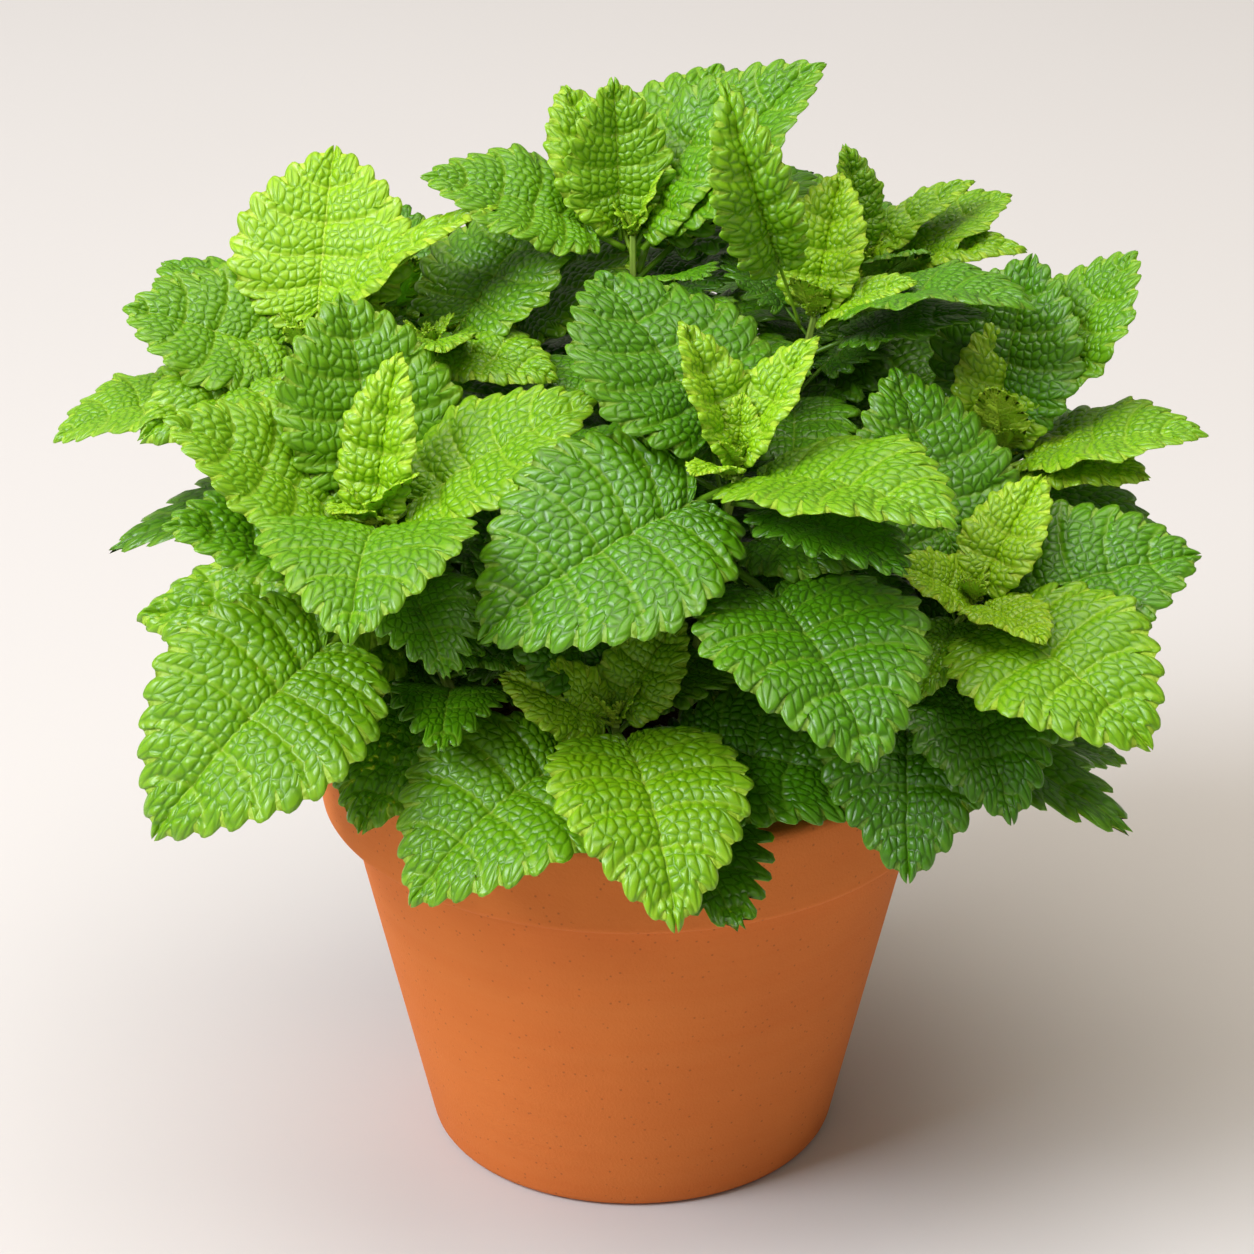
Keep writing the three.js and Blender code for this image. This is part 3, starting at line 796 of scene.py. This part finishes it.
# %% Raise the cells
def quilting_tree():
    tree, given = node_tree("quilting", {
        "Relief": ("NodeSocketFloat", 0.9 * MM), "Finish": ("NodeSocketMaterial", skin)})
    counts = add(tree, "GeometryNodeInputNamedAttribute", {"data_type": "FLOAT_VECTOR"}, {"Name": "UVMap"})
    lift = add(tree, "GeometryNodeInputNamedAttribute", {"data_type": "FLOAT_VECTOR"}, {"Name": "lift"})
    cell, vein, rib = creases(tree, counts.outputs["Attribute"])
    height = summed(tree, [(ramped(tree, cell, 0.45), 0.55), (ramped(tree, vein, 1.3), 0.85),
                           (ramped(tree, rib, 1.3), 0.6)])
    tall = add(tree, "ShaderNodeMath", {"operation": "MULTIPLY"}, {0: height, 1: given["Relief"]})
    move = add(tree, "ShaderNodeVectorMath", {"operation": "SCALE"}, {
        "Vector": lift.outputs["Attribute"], "Scale": tall.outputs["Value"]})
    moved = add(tree, "GeometryNodeSetPosition", sockets={
        "Geometry": given["Geometry"], "Offset": move.outputs["Vector"]})
    real = add(tree, "GeometryNodeRealizeInstances", sockets={"Geometry": moved.outputs["Geometry"]})
    done = add(tree, "GeometryNodeSetMaterial", sockets={
        "Geometry": real.outputs["Geometry"], "Material": given["Finish"]})
    add(tree, "NodeGroupOutput", sockets={"Geometry": done.outputs["Geometry"]})
    return tree


quilting = quilting_tree()
print("quilting inputs:", [item.name for item in quilting.interface.items_tree if item.in_out == "INPUT"])

# %% [markdown]
# ## The big leaves
# Every big leaf has a solid in the frame. Its place is read from that solid: the two points furthest apart
# are the joint and the tip, the joint being the end nearer its own stem. The widest direction across that
# line is the blade's side, and the face that looks towards the sky above the stem is the upper one. A
# least-squares fit then gives the bend along the leaf and the fold to its sides.

# %% Read a leaf's place from its solid
def widest_pair(points):
    apart = np.linalg.norm(points[:, None] - points[None], axis=2)
    return np.unravel_index(apart.argmax(), apart.shape)


def place_in_frame(node):
    shoot = node[5:].rsplit("_", 1)[0]
    points = points_of(node)
    one, other = widest_pair(points)
    line = np.array([stem_point(shoot, share) for share in np.linspace(0, 1, 60)])
    nearness = [np.linalg.norm(line - points[end], axis=1).min() for end in (one, other)]
    start, end = (one, other) if nearness[0] < nearness[1] else (other, one)
    base = points[np.linalg.norm(points - points[start], axis=1) < 2.3].mean(0)
    tip = points[np.linalg.norm(points - points[end], axis=1) < 1.2].mean(0)
    forward = unit(tip - base)
    spare = points - base
    spare = spare - np.outer(spare @ forward, forward)
    spread = np.linalg.eigh(spare.T @ spare)[1][:, 2]
    up = np.cross(forward, spread)
    sky = stem_point(shoot, 1) + np.array([0, 0, 60]) - (base + tip) / 2
    up = up if up @ sky > 0 else -up
    side = unit(np.cross(up, forward))
    local = (points - base) @ np.stack([forward, side, np.cross(forward, side)]).T
    x, y, z = local.T
    terms = np.stack([x, x**2, x**3, np.abs(y), x * y], -1)
    fit = np.linalg.lstsq(terms, z, rcond=None)[0]
    half = np.abs(y).max()
    blade_start = x[np.abs(y) > 0.4 * half].min() + 0.5
    length = np.linalg.norm(tip - base) - blade_start
    return lying(base, forward, up, length, 2 * half, max(blade_start, 2.0), list(fit[:3]), fit[3], fit[4])


# %% Tones of the big leaves, from deep green 0 to lime 1
# SHADED is painted shade: the darkest green, for leaves that lie in the shade of others.
SHADED, DEEP, MIDDLE, LIGHT, LIME = 0.0, 0.18, 0.38, 0.6, 0.85
tones = {
    "front_left": [LIGHT, LIGHT, MIDDLE, MIDDLE, MIDDLE, LIGHT],
    "front": [LIGHT, MIDDLE, SHADED, SHADED],
    "centre": [DEEP, DEEP, LIGHT, DEEP],
    "front_right": [DEEP, DEEP, LIGHT, SHADED, SHADED],
    "right": [MIDDLE, LIGHT, DEEP, DEEP],
    "upper_right": [LIGHT, DEEP, DEEP],
    "crown": [MIDDLE, LIGHT, MIDDLE, MIDDLE],
    "left": [LIME, MIDDLE, LIGHT, MIDDLE],
    "middle_left": [MIDDLE, MIDDLE],
    "back_right": [MIDDLE, LIGHT, DEEP, DEEP],
    "back": [MIDDLE, LIGHT, DEEP],
    "back_left": [LIGHT, MIDDLE, DEEP],
}
print("tones for", sum(len(row) for row in tones.values()), "big leaves")

# %% Three finenesses of blade, and the leaves that stand half closed
FINE = {"steps_a_tooth": 8, "columns": 33}
PLAIN = {"steps_a_tooth": 6, "columns": 21}
COARSE = {"steps_a_tooth": 4, "columns": 15}
# The share of their solid's width that half closed leaves keep, and their sides' slope.
FOLDED = {"leaf_upper_right_1": (0.62, 0.6)}
print("half closed:", list(FOLDED))

# %% Keep count of the room that is taken
ROOM_CELL = 1.3
ROOM_MARGIN = 20
room_low, room_high = (np.array(corner) / MM for corner in cad_box)
room_low, room_high = room_low - ROOM_MARGIN, room_high + ROOM_MARGIN
room = np.zeros(np.ceil((room_high - room_low) / ROOM_CELL).astype(int), bool)
print("room:", room.shape, "cubes of", ROOM_CELL, "mm")


def room_index(points):
    return np.clip(((points - room_low) / ROOM_CELL).astype(int), 1, np.array(room.shape) - 2)


def fill_room(points):
    """Marks the small cubes round the points as taken, so that a later leaf keeps clear of them."""
    index = room_index(points)
    for step in np.ndindex(3, 3, 3):
        room[tuple((index + step - 1).T)] = True


# %% Lay a blade on each solid
BIG_SEED = 100
leaf_count = leaf_faces = 0
for number, node in enumerate(sorted(name for name in nodes if name.startswith("leaf_"))):
    rng = np.random.default_rng(BIG_SEED + number)
    shoot, order = node[5:].rsplit("_", 1)
    place = place_in_frame(node)
    detail = PLAIN if shoot.startswith("back") else FINE
    if node in FOLDED:
        kept_width, place["fold"] = FOLDED[node]
        place["width"] *= kept_width
    grid = blade_grid(place["length"], place["width"], **detail)
    tone = tones[shoot][int(order) - 1] + rng.uniform(-0.05, 0.05)
    points, quads, fans, layers, uv = leaf_surface(place, grid, tone, rng)
    mesh = grown(mesh_of("blade", points, [quads, fans], layers, uv), quilting)
    piece_of(node.replace("leaf", "balm_leaf"), mesh, skin, "leaf", node)
    fill_room(points[::5])
    leaf_count += 1
    leaf_faces += len(quads)
print("big leaves:", leaf_count, "with", leaf_faces, "faces")

# %% [markdown]
# ## Young leaves and shoot tips
# At the end of each stem the newest pairs stand nearly upright round a bud, lime green, narrow and tightly
# crinkled. The rows below are listed shoot by shoot, in a grower's terms: where along the stem the
# leaf sits, the way it points, its rise, sizes and droop. All of one shoot's young leaves make one piece.

# %% A leaf from a grower's terms
JOINT_ASIDE = 1.3


def place_by_habit(shoot, at, turn, rise, length, width, stalk, droop, roll, fold):
    """A leaf's place from where it sits on its stem, its bearing and rise in degrees, and its sizes."""
    turn, rise, roll = math.radians(turn), math.radians(rise), math.radians(roll)
    forward = np.array([math.cos(turn) * math.cos(rise), math.sin(turn) * math.cos(rise), math.sin(rise)])
    up = np.array([-math.cos(turn) * math.sin(rise), -math.sin(turn) * math.sin(rise), math.cos(rise)])
    side = np.cross(up, forward)
    up = up * math.cos(roll) + side * math.sin(roll)
    stem = stem_point(shoot, at)
    aside = forward - stem_heading(shoot, at) * (forward @ stem_heading(shoot, at))
    base = stem + JOINT_ASIDE * aside
    reach = stalk + length
    slope = math.radians(droop)
    bend = [0.0, -0.5 * slope * length / reach**2, -slope * length / reach**3 / 6]
    return lying(base, forward, up, length, width, stalk, bend, math.tan(math.radians(fold)))


class Bunch:
    """Leaves gathered into one mesh."""

    def __init__(self):
        self.points, self.quads, self.fans, self.layers, self.uv, self.count = [], [], [], [], [], 0

    def take(self, place, tone, rng, detail, ripple=RIPPLE):
        grid = blade_grid(place["length"], place["width"], **detail)
        points, quads, fans, layers, uv = leaf_surface(place, grid, tone, rng, ripple)
        self.points.append(points)
        self.quads.append(quads + self.count)
        self.fans.append(fans + self.count)
        self.layers.append(layers)
        self.uv.append(uv)
        self.count += len(points)
        return points

    def piece(self, name, relief):
        layers = {label: np.concatenate([each[label] for each in self.layers]) for label in self.layers[0]}
        faces = [np.concatenate(self.quads), np.concatenate(self.fans)]
        blank = mesh_of(name, np.concatenate(self.points), faces, layers, np.concatenate(self.uv))
        piece = piece_of(name, grown(blank, quilting, {"Relief": relief * MM}), skin, "leaf")
        return len(piece.data.polygons)


# %% Young leaves, shoot by shoot
# Each row: along the stem, bearing, rise, length, width, stalk, droop, roll, fold, tone.
young_rows = {
    "front_left": [(1, 62, 78, 34, 17, 3, 10, 0, 22, 0.85), (1, 232, 41, 14, 10, 2, 20, 0, 20, 0.9),
                   (1, 326, 60, 16, 10, 2, 15, 0, 20, 0.9), (0.72, 180, 7, 50, 34, 10, 20, 25, 8, 0.55),
                   (0.6, 174, 8, 48, 36, 9, 20, 20, 8, 0.6), (0.45, 249, 8, 36, 30, 12, 35, 0, 8, 0.35),
                   (0.6, 301, 27, 28, 22, 6, 20, 0, 8, 0.15)],
    "front": [(1, 42, 52, 24, 17, 3, 15, -25, 16, 0.7), (1, 195, 34, 23, 17, 4, 15, 50, 14, 0.95),
              (1, 109, 50, 13, 9, 2, 15, 0, 22, 0.85), (0.62, 197, 31, 34, 28, 4, 25, 0, 8, 0.2)],
    "centre": [(1, 35, 60, 28, 16, 4, 15, 0, 22, 0.8), (1, 135, 65, 29, 16, 4, 10, 0, 22, 0.75),
               (0.98, 241, 35, 15, 10, 5, 25, 0, 18, 0.85), (0.8, 341, 14, 28, 24, 8, 20, -20, 8, 0.2),
               (1, 80, 74, 14, 9, 2, 10, 0, 22, 0.9)],
    "front_right": [(1, 45, 52, 27, 17, 5, 15, -15, 18, 0.85), (1, 200, 41, 17, 14, 3, 20, 35, 15, 0.9),
                    (1, 300, 15, 21, 17, 4, 20, 0, 14, 0.92), (0.95, 243, -12, 20, 14, 4, 20, 0, 12, 0.5)],
    "right": [(1, 80, 62, 30, 22, 4, 10, 0, 22, 0.95), (1, 249, 70, 18, 11, 3, 10, 0, 20, 0.9),
              (0.97, 333, 17, 26, 19, 8, 25, -15, 10, 0.85), (0.96, 76, 45, 32, 22, 12, 12, 0, 12, 0.5)],
    "upper_right": [(1, 70, 60, 29, 19, 4, 5, 0, 26, 1.0), (0.98, 339, 40, 22, 13, 4, 20, -15, 14, 0.7),
                    (1, 240, 60, 12, 8, 2, 10, 0, 22, 0.9)],
    "crown": [(0.97, 123, 54, 34, 26, 8, 12, 0, 12, 0.7), (0.98, 38, 55, 38, 30, 6, 12, 0, 12, 0.4),
              (0.8, 297, 39, 32, 26, 12, 20, 0, 8, 0.3), (0.75, 320, 26, 36, 30, 14, 25, 0, 8, 0.25),
              (1, 20, 70, 14, 9, 3, 10, 0, 22, 0.85)],
    "left": [(0.96, 222, 5, 38, 30, 6, 25, 20, 8, 0.6), (0.98, 8, 53, 40, 17, 12, 30, 0, 20, 0.8),
             (1, 268, 49, 10, 8, 2, 10, 0, 18, 1.0), (1, 350, 60, 12, 9, 2, 10, 0, 18, 0.95)],
    "middle_left": [(1, 280, 32, 22, 17, 4, 20, 0, 14, 0.65), (1, 330, 8, 26, 20, 5, 20, -15, 10, 0.6)],
    "back_right": [(1, 127, 79, 22, 13, 8, 10, 0, 20, 0.55), (1, 13, 50, 28, 17, 4, 20, 0, 16, 0.65),
                   (1, 346, 28, 30, 19, 6, 30, -10, 12, 0.7), (0.9, 294, 50, 30, 24, 10, 20, 0, 8, 0.15)],
    "back": [(1, 60, 65, 24, 15, 4, 10, 0, 22, 0.8), (1, 240, 62, 22, 14, 4, 10, 0, 22, 0.75)],
    "back_left": [(1, 120, 65, 24, 15, 4, 10, 0, 22, 0.8), (1, 300, 62, 22, 14, 4, 10, 0, 22, 0.75)],
}
YOUNG_RELIEF = 1.5
YOUNG_RIPPLE, BUD_RIPPLE = 0.6, 0.3
YOUNG_SEED = 300
BUD_PAIRS = ((9, 62), (6, 75))
young_count = 0
for number, (shoot, rows) in enumerate(young_rows.items()):
    rng = np.random.default_rng(YOUNG_SEED + number)
    bunch = Bunch()
    for *terms, tone in rows:
        points = bunch.take(place_by_habit(shoot, *terms), tone, rng, PLAIN, YOUNG_RIPPLE)
        fill_room(points[::4])
        young_count += 1
    for pair, (size, tall) in enumerate(BUD_PAIRS):
        for side in (0, 180):
            bearing = 90 * pair + side + 25 * number
            bud = place_by_habit(shoot, 1, bearing, tall, size, 0.6 * size, 1, 10, 0, 25)
            bunch.take(bud, 0.95, rng, COARSE, BUD_RIPPLE)
    bunch.piece("young_leaves_" + shoot, YOUNG_RELIEF)
print("young leaves:", young_count)

# %% [markdown]
# ## The leaves within
# Down each stem sit older pairs, each pair turned a quarter turn from the last. Their deep green is partly
# the colour of older leaves and partly painted shade from the ones above. They fill the plant and close it
# over the rim on every side. A leaf is set only where it lies clear of the leaves, the pot and the soil
# already there: a few bearings, rises and sizes are tried in turn, and a joint with no room is left bare, as
# shaded joints are.

# %% Room for a leaf
soil_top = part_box("potting_soil")[1].z / MM
PROUD = 4.0


def clear_of_pot(points):
    radius = np.hypot(points[:, 0] - axis_x, points[:, 1] - axis_y)
    over_wall = (points[:, 2] > pot_height + 1) | (radius < inner_top - 2) | (radius > rim_radius + 2)
    return over_wall.all() and (points[:, 2] > soil_top + 3).all()


def inside_box(points):
    low, high = (np.array(corner) / MM for corner in cad_box)
    return (points > low - (PROUD, PROUD, 0)).all() and (points < high + PROUD).all()


def sketch(place):
    """A sparse net of points on a leaf's surface, to test for room."""
    share, side = np.meshgrid(np.linspace(0, 1, 22), np.linspace(-1, 1, 19), indexing="ij")
    x = place["stalk"] + place["length"] * (share - LOBE * side**2 * (1 - share) ** 4)
    return on_leaf(place, x, place["width"] / 2 * half_width(share) * side).reshape(-1, 3)


def has_room(place):
    points = sketch(place)
    return clear_of_pot(points) and inside_box(points) and not room[tuple(room_index(points).T)].any()


print("soil's top at", round(soil_top, 1), "mm")

# %% Keep the growing tips in the open
TIP_AIR = 15
AIR_OVER_TIP = (0, -10, 12)
ball = np.stack(np.meshgrid(*[np.arange(-TIP_AIR, TIP_AIR + 1, 2)] * 3, indexing="ij"), -1).reshape(-1, 3)
ball = ball[np.linalg.norm(ball, axis=1) < TIP_AIR]
for shoot in stem_lines:
    fill_room(ball + stem_point(shoot, 1) + AIR_OVER_TIP)
print("kept", len(stem_lines), "tips open")

# %% Fill in down each stem
INNER_RELIEF = 0.8
INNER_BROAD = 0.82
INNER_STALK, INNER_FOLD = 14, 8
INNER_DROOP, RIM_DROOP = 30, 70
rng = np.random.default_rng(7)
bunches = {shoot: Bunch() for shoot in stem_lines}
inner_count = 0
DOWN_STEM = np.linspace(0.92, 0.36, 8)
passes = [(DOWN_STEM, 36, 12, 0), (DOWN_STEM + 0.04, 27, 24, 45), (DOWN_STEM, 20, 45, 20)]
trials = [(size, rise_by, turn_by) for size in (1.0, 0.8, 0.64) for rise_by in (0, 16, -14, 30)
          for turn_by in (0, 20, -20, 42, -42)]


def set_leaf(shoot, at, bearing, rise, length, tone, droop=INNER_DROOP):
    """Sets one inner leaf at the first of the trials that has room, and says whether it found one."""
    for size, rise_by, turn_by in trials:
        place = place_by_habit(shoot, at, bearing + turn_by, rise + rise_by, size * length,
                               INNER_BROAD * size * length, INNER_STALK * size, droop, 0, INNER_FOLD)
        if has_room(place):
            fill_room(bunches[shoot].take(place, tone, rng, COARSE)[::3])
            return 1
    return 0


# Round the rim, leaves lean out over the clay from every stem's lowest free joints, except within
# RIM_FRONT degrees of the front, where the big leaves close it.
RIM_FRONT = 35
for shoot in stem_lines:
    for at in np.linspace(0.2, 0.6, 9):
        joint = stem_point(shoot, at)
        outward = math.degrees(math.atan2(joint[1] - axis_y, joint[0] - axis_x))
        if joint[2] > pot_height + 2 and abs(outward + 90) > RIM_FRONT:
            for lean in (0, 50, -50):
                # Dark tones: partly older leaves' own green, partly painted shade from the leaves above.
                inner_count += set_leaf(shoot, at, outward + lean, 14, rng.uniform(36, 46),
                                        rng.uniform(0.05, 0.35), RIM_DROOP)
for shares, length, rise, start in passes:
    for number, shoot in enumerate(stem_lines):
        for step, at in enumerate(shares):
            for side in (0, 180):
                # Dark tones: partly older leaves' own green, partly painted shade from the leaves above.
                inner_count += set_leaf(shoot, at, start + 90 * step + 45 * number + side, rise,
                                        length + 14 * (1 - at) + rng.uniform(-4, 4), rng.uniform(0.0, 0.3))
inner_faces = sum(bunch.piece("inner_leaves_" + shoot, INNER_RELIEF)
                  for shoot, bunch in bunches.items() if bunch.count)
print("inner leaves:", inner_count, "with", inner_faces, "faces")

# %% [markdown]
# ## The studio
# A plain pale floor, a broad key light from high on the left, a weaker one overhead, and a warm grey dome
# that fills the shade and is brighter on the left, where a real studio would have its white wall.

# %% Floor
def studio_floor():
    material, tree = new_material("matt studio floor")
    place = add(tree, "ShaderNodeTexCoord").outputs["Object"]
    cloud = add(tree, "ShaderNodeTexNoise", sockets={"Vector": place, "Scale": 3.0, "Detail": 2.0})
    body = mixed(tree, cloud.outputs["Fac"], "#cbc9c7", "#cecccb")
    shader = add(tree, "ShaderNodeBsdfPrincipled", sockets={
        "Base Color": body, "Roughness": 0.9, "Specular IOR Level": 0.1})
    finish_material(tree, shader)
    points = [(x, y, 0) for x, y in ((-4000, -3000), (4000, -3000), (4000, 6000), (-4000, 6000))]
    floor = in_scene("floor", mesh_of("floor", points, [[[0, 1, 2, 3]]]))
    floor.data.materials.append(material)


studio_floor()
print("laid the floor")

# %% Lights
KEY_WATTS = 126.0
TOP_WATTS = 45.0
FILL_LEFT, FILL_RIGHT = 0.5, 0.18


def soft_light(name, azimuth, height, distance, size, watts, colour):
    """A square soft light, aimed at the plant. Azimuth 0 is in front of it and 90 to its right."""
    turn, rise = math.radians(azimuth), math.radians(height)
    way = Vector((math.sin(turn) * math.cos(rise), -math.cos(turn) * math.cos(rise), math.sin(rise)))
    lamp = bpy.data.lights.new(name, "AREA")
    lamp.size = size
    lamp.energy = watts
    lamp.color = linear(colour)[:3]
    holder = in_scene(name, lamp)
    holder.location = aim + way * distance
    holder.rotation_mode = "QUATERNION"
    holder.rotation_quaternion = way.to_track_quat("Z", "Y")


soft_light("key", -62, 43, 3.4, 1.6, KEY_WATTS, "#f2f6ff")
soft_light("top", 0, 88, 2.2, 2.0, TOP_WATTS, "#fff6ea")
world = bpy.data.worlds.new("studio")
world.use_nodes = True
dome = world.node_tree.nodes["Background"]
dome.inputs["Color"].default_value = linear("#fff6ea")
way = add(world.node_tree, "ShaderNodeTexCoord").outputs["Generated"]
across_room = add(world.node_tree, "ShaderNodeSeparateXYZ", sockets={"Vector": way}).outputs["X"]
fill = add(world.node_tree, "ShaderNodeMapRange", sockets={
    "Value": across_room, "From Min": -1.0, "From Max": 1.0, "To Min": FILL_LEFT, "To Max": FILL_RIGHT})
world.node_tree.links.new(fill.outputs["Result"], dome.inputs["Strength"])
bpy.context.scene.world = world
bpy.context.scene.view_settings.view_transform = "Standard"
print("lights:", KEY_WATTS, "W from the left and", TOP_WATTS, "W from above")
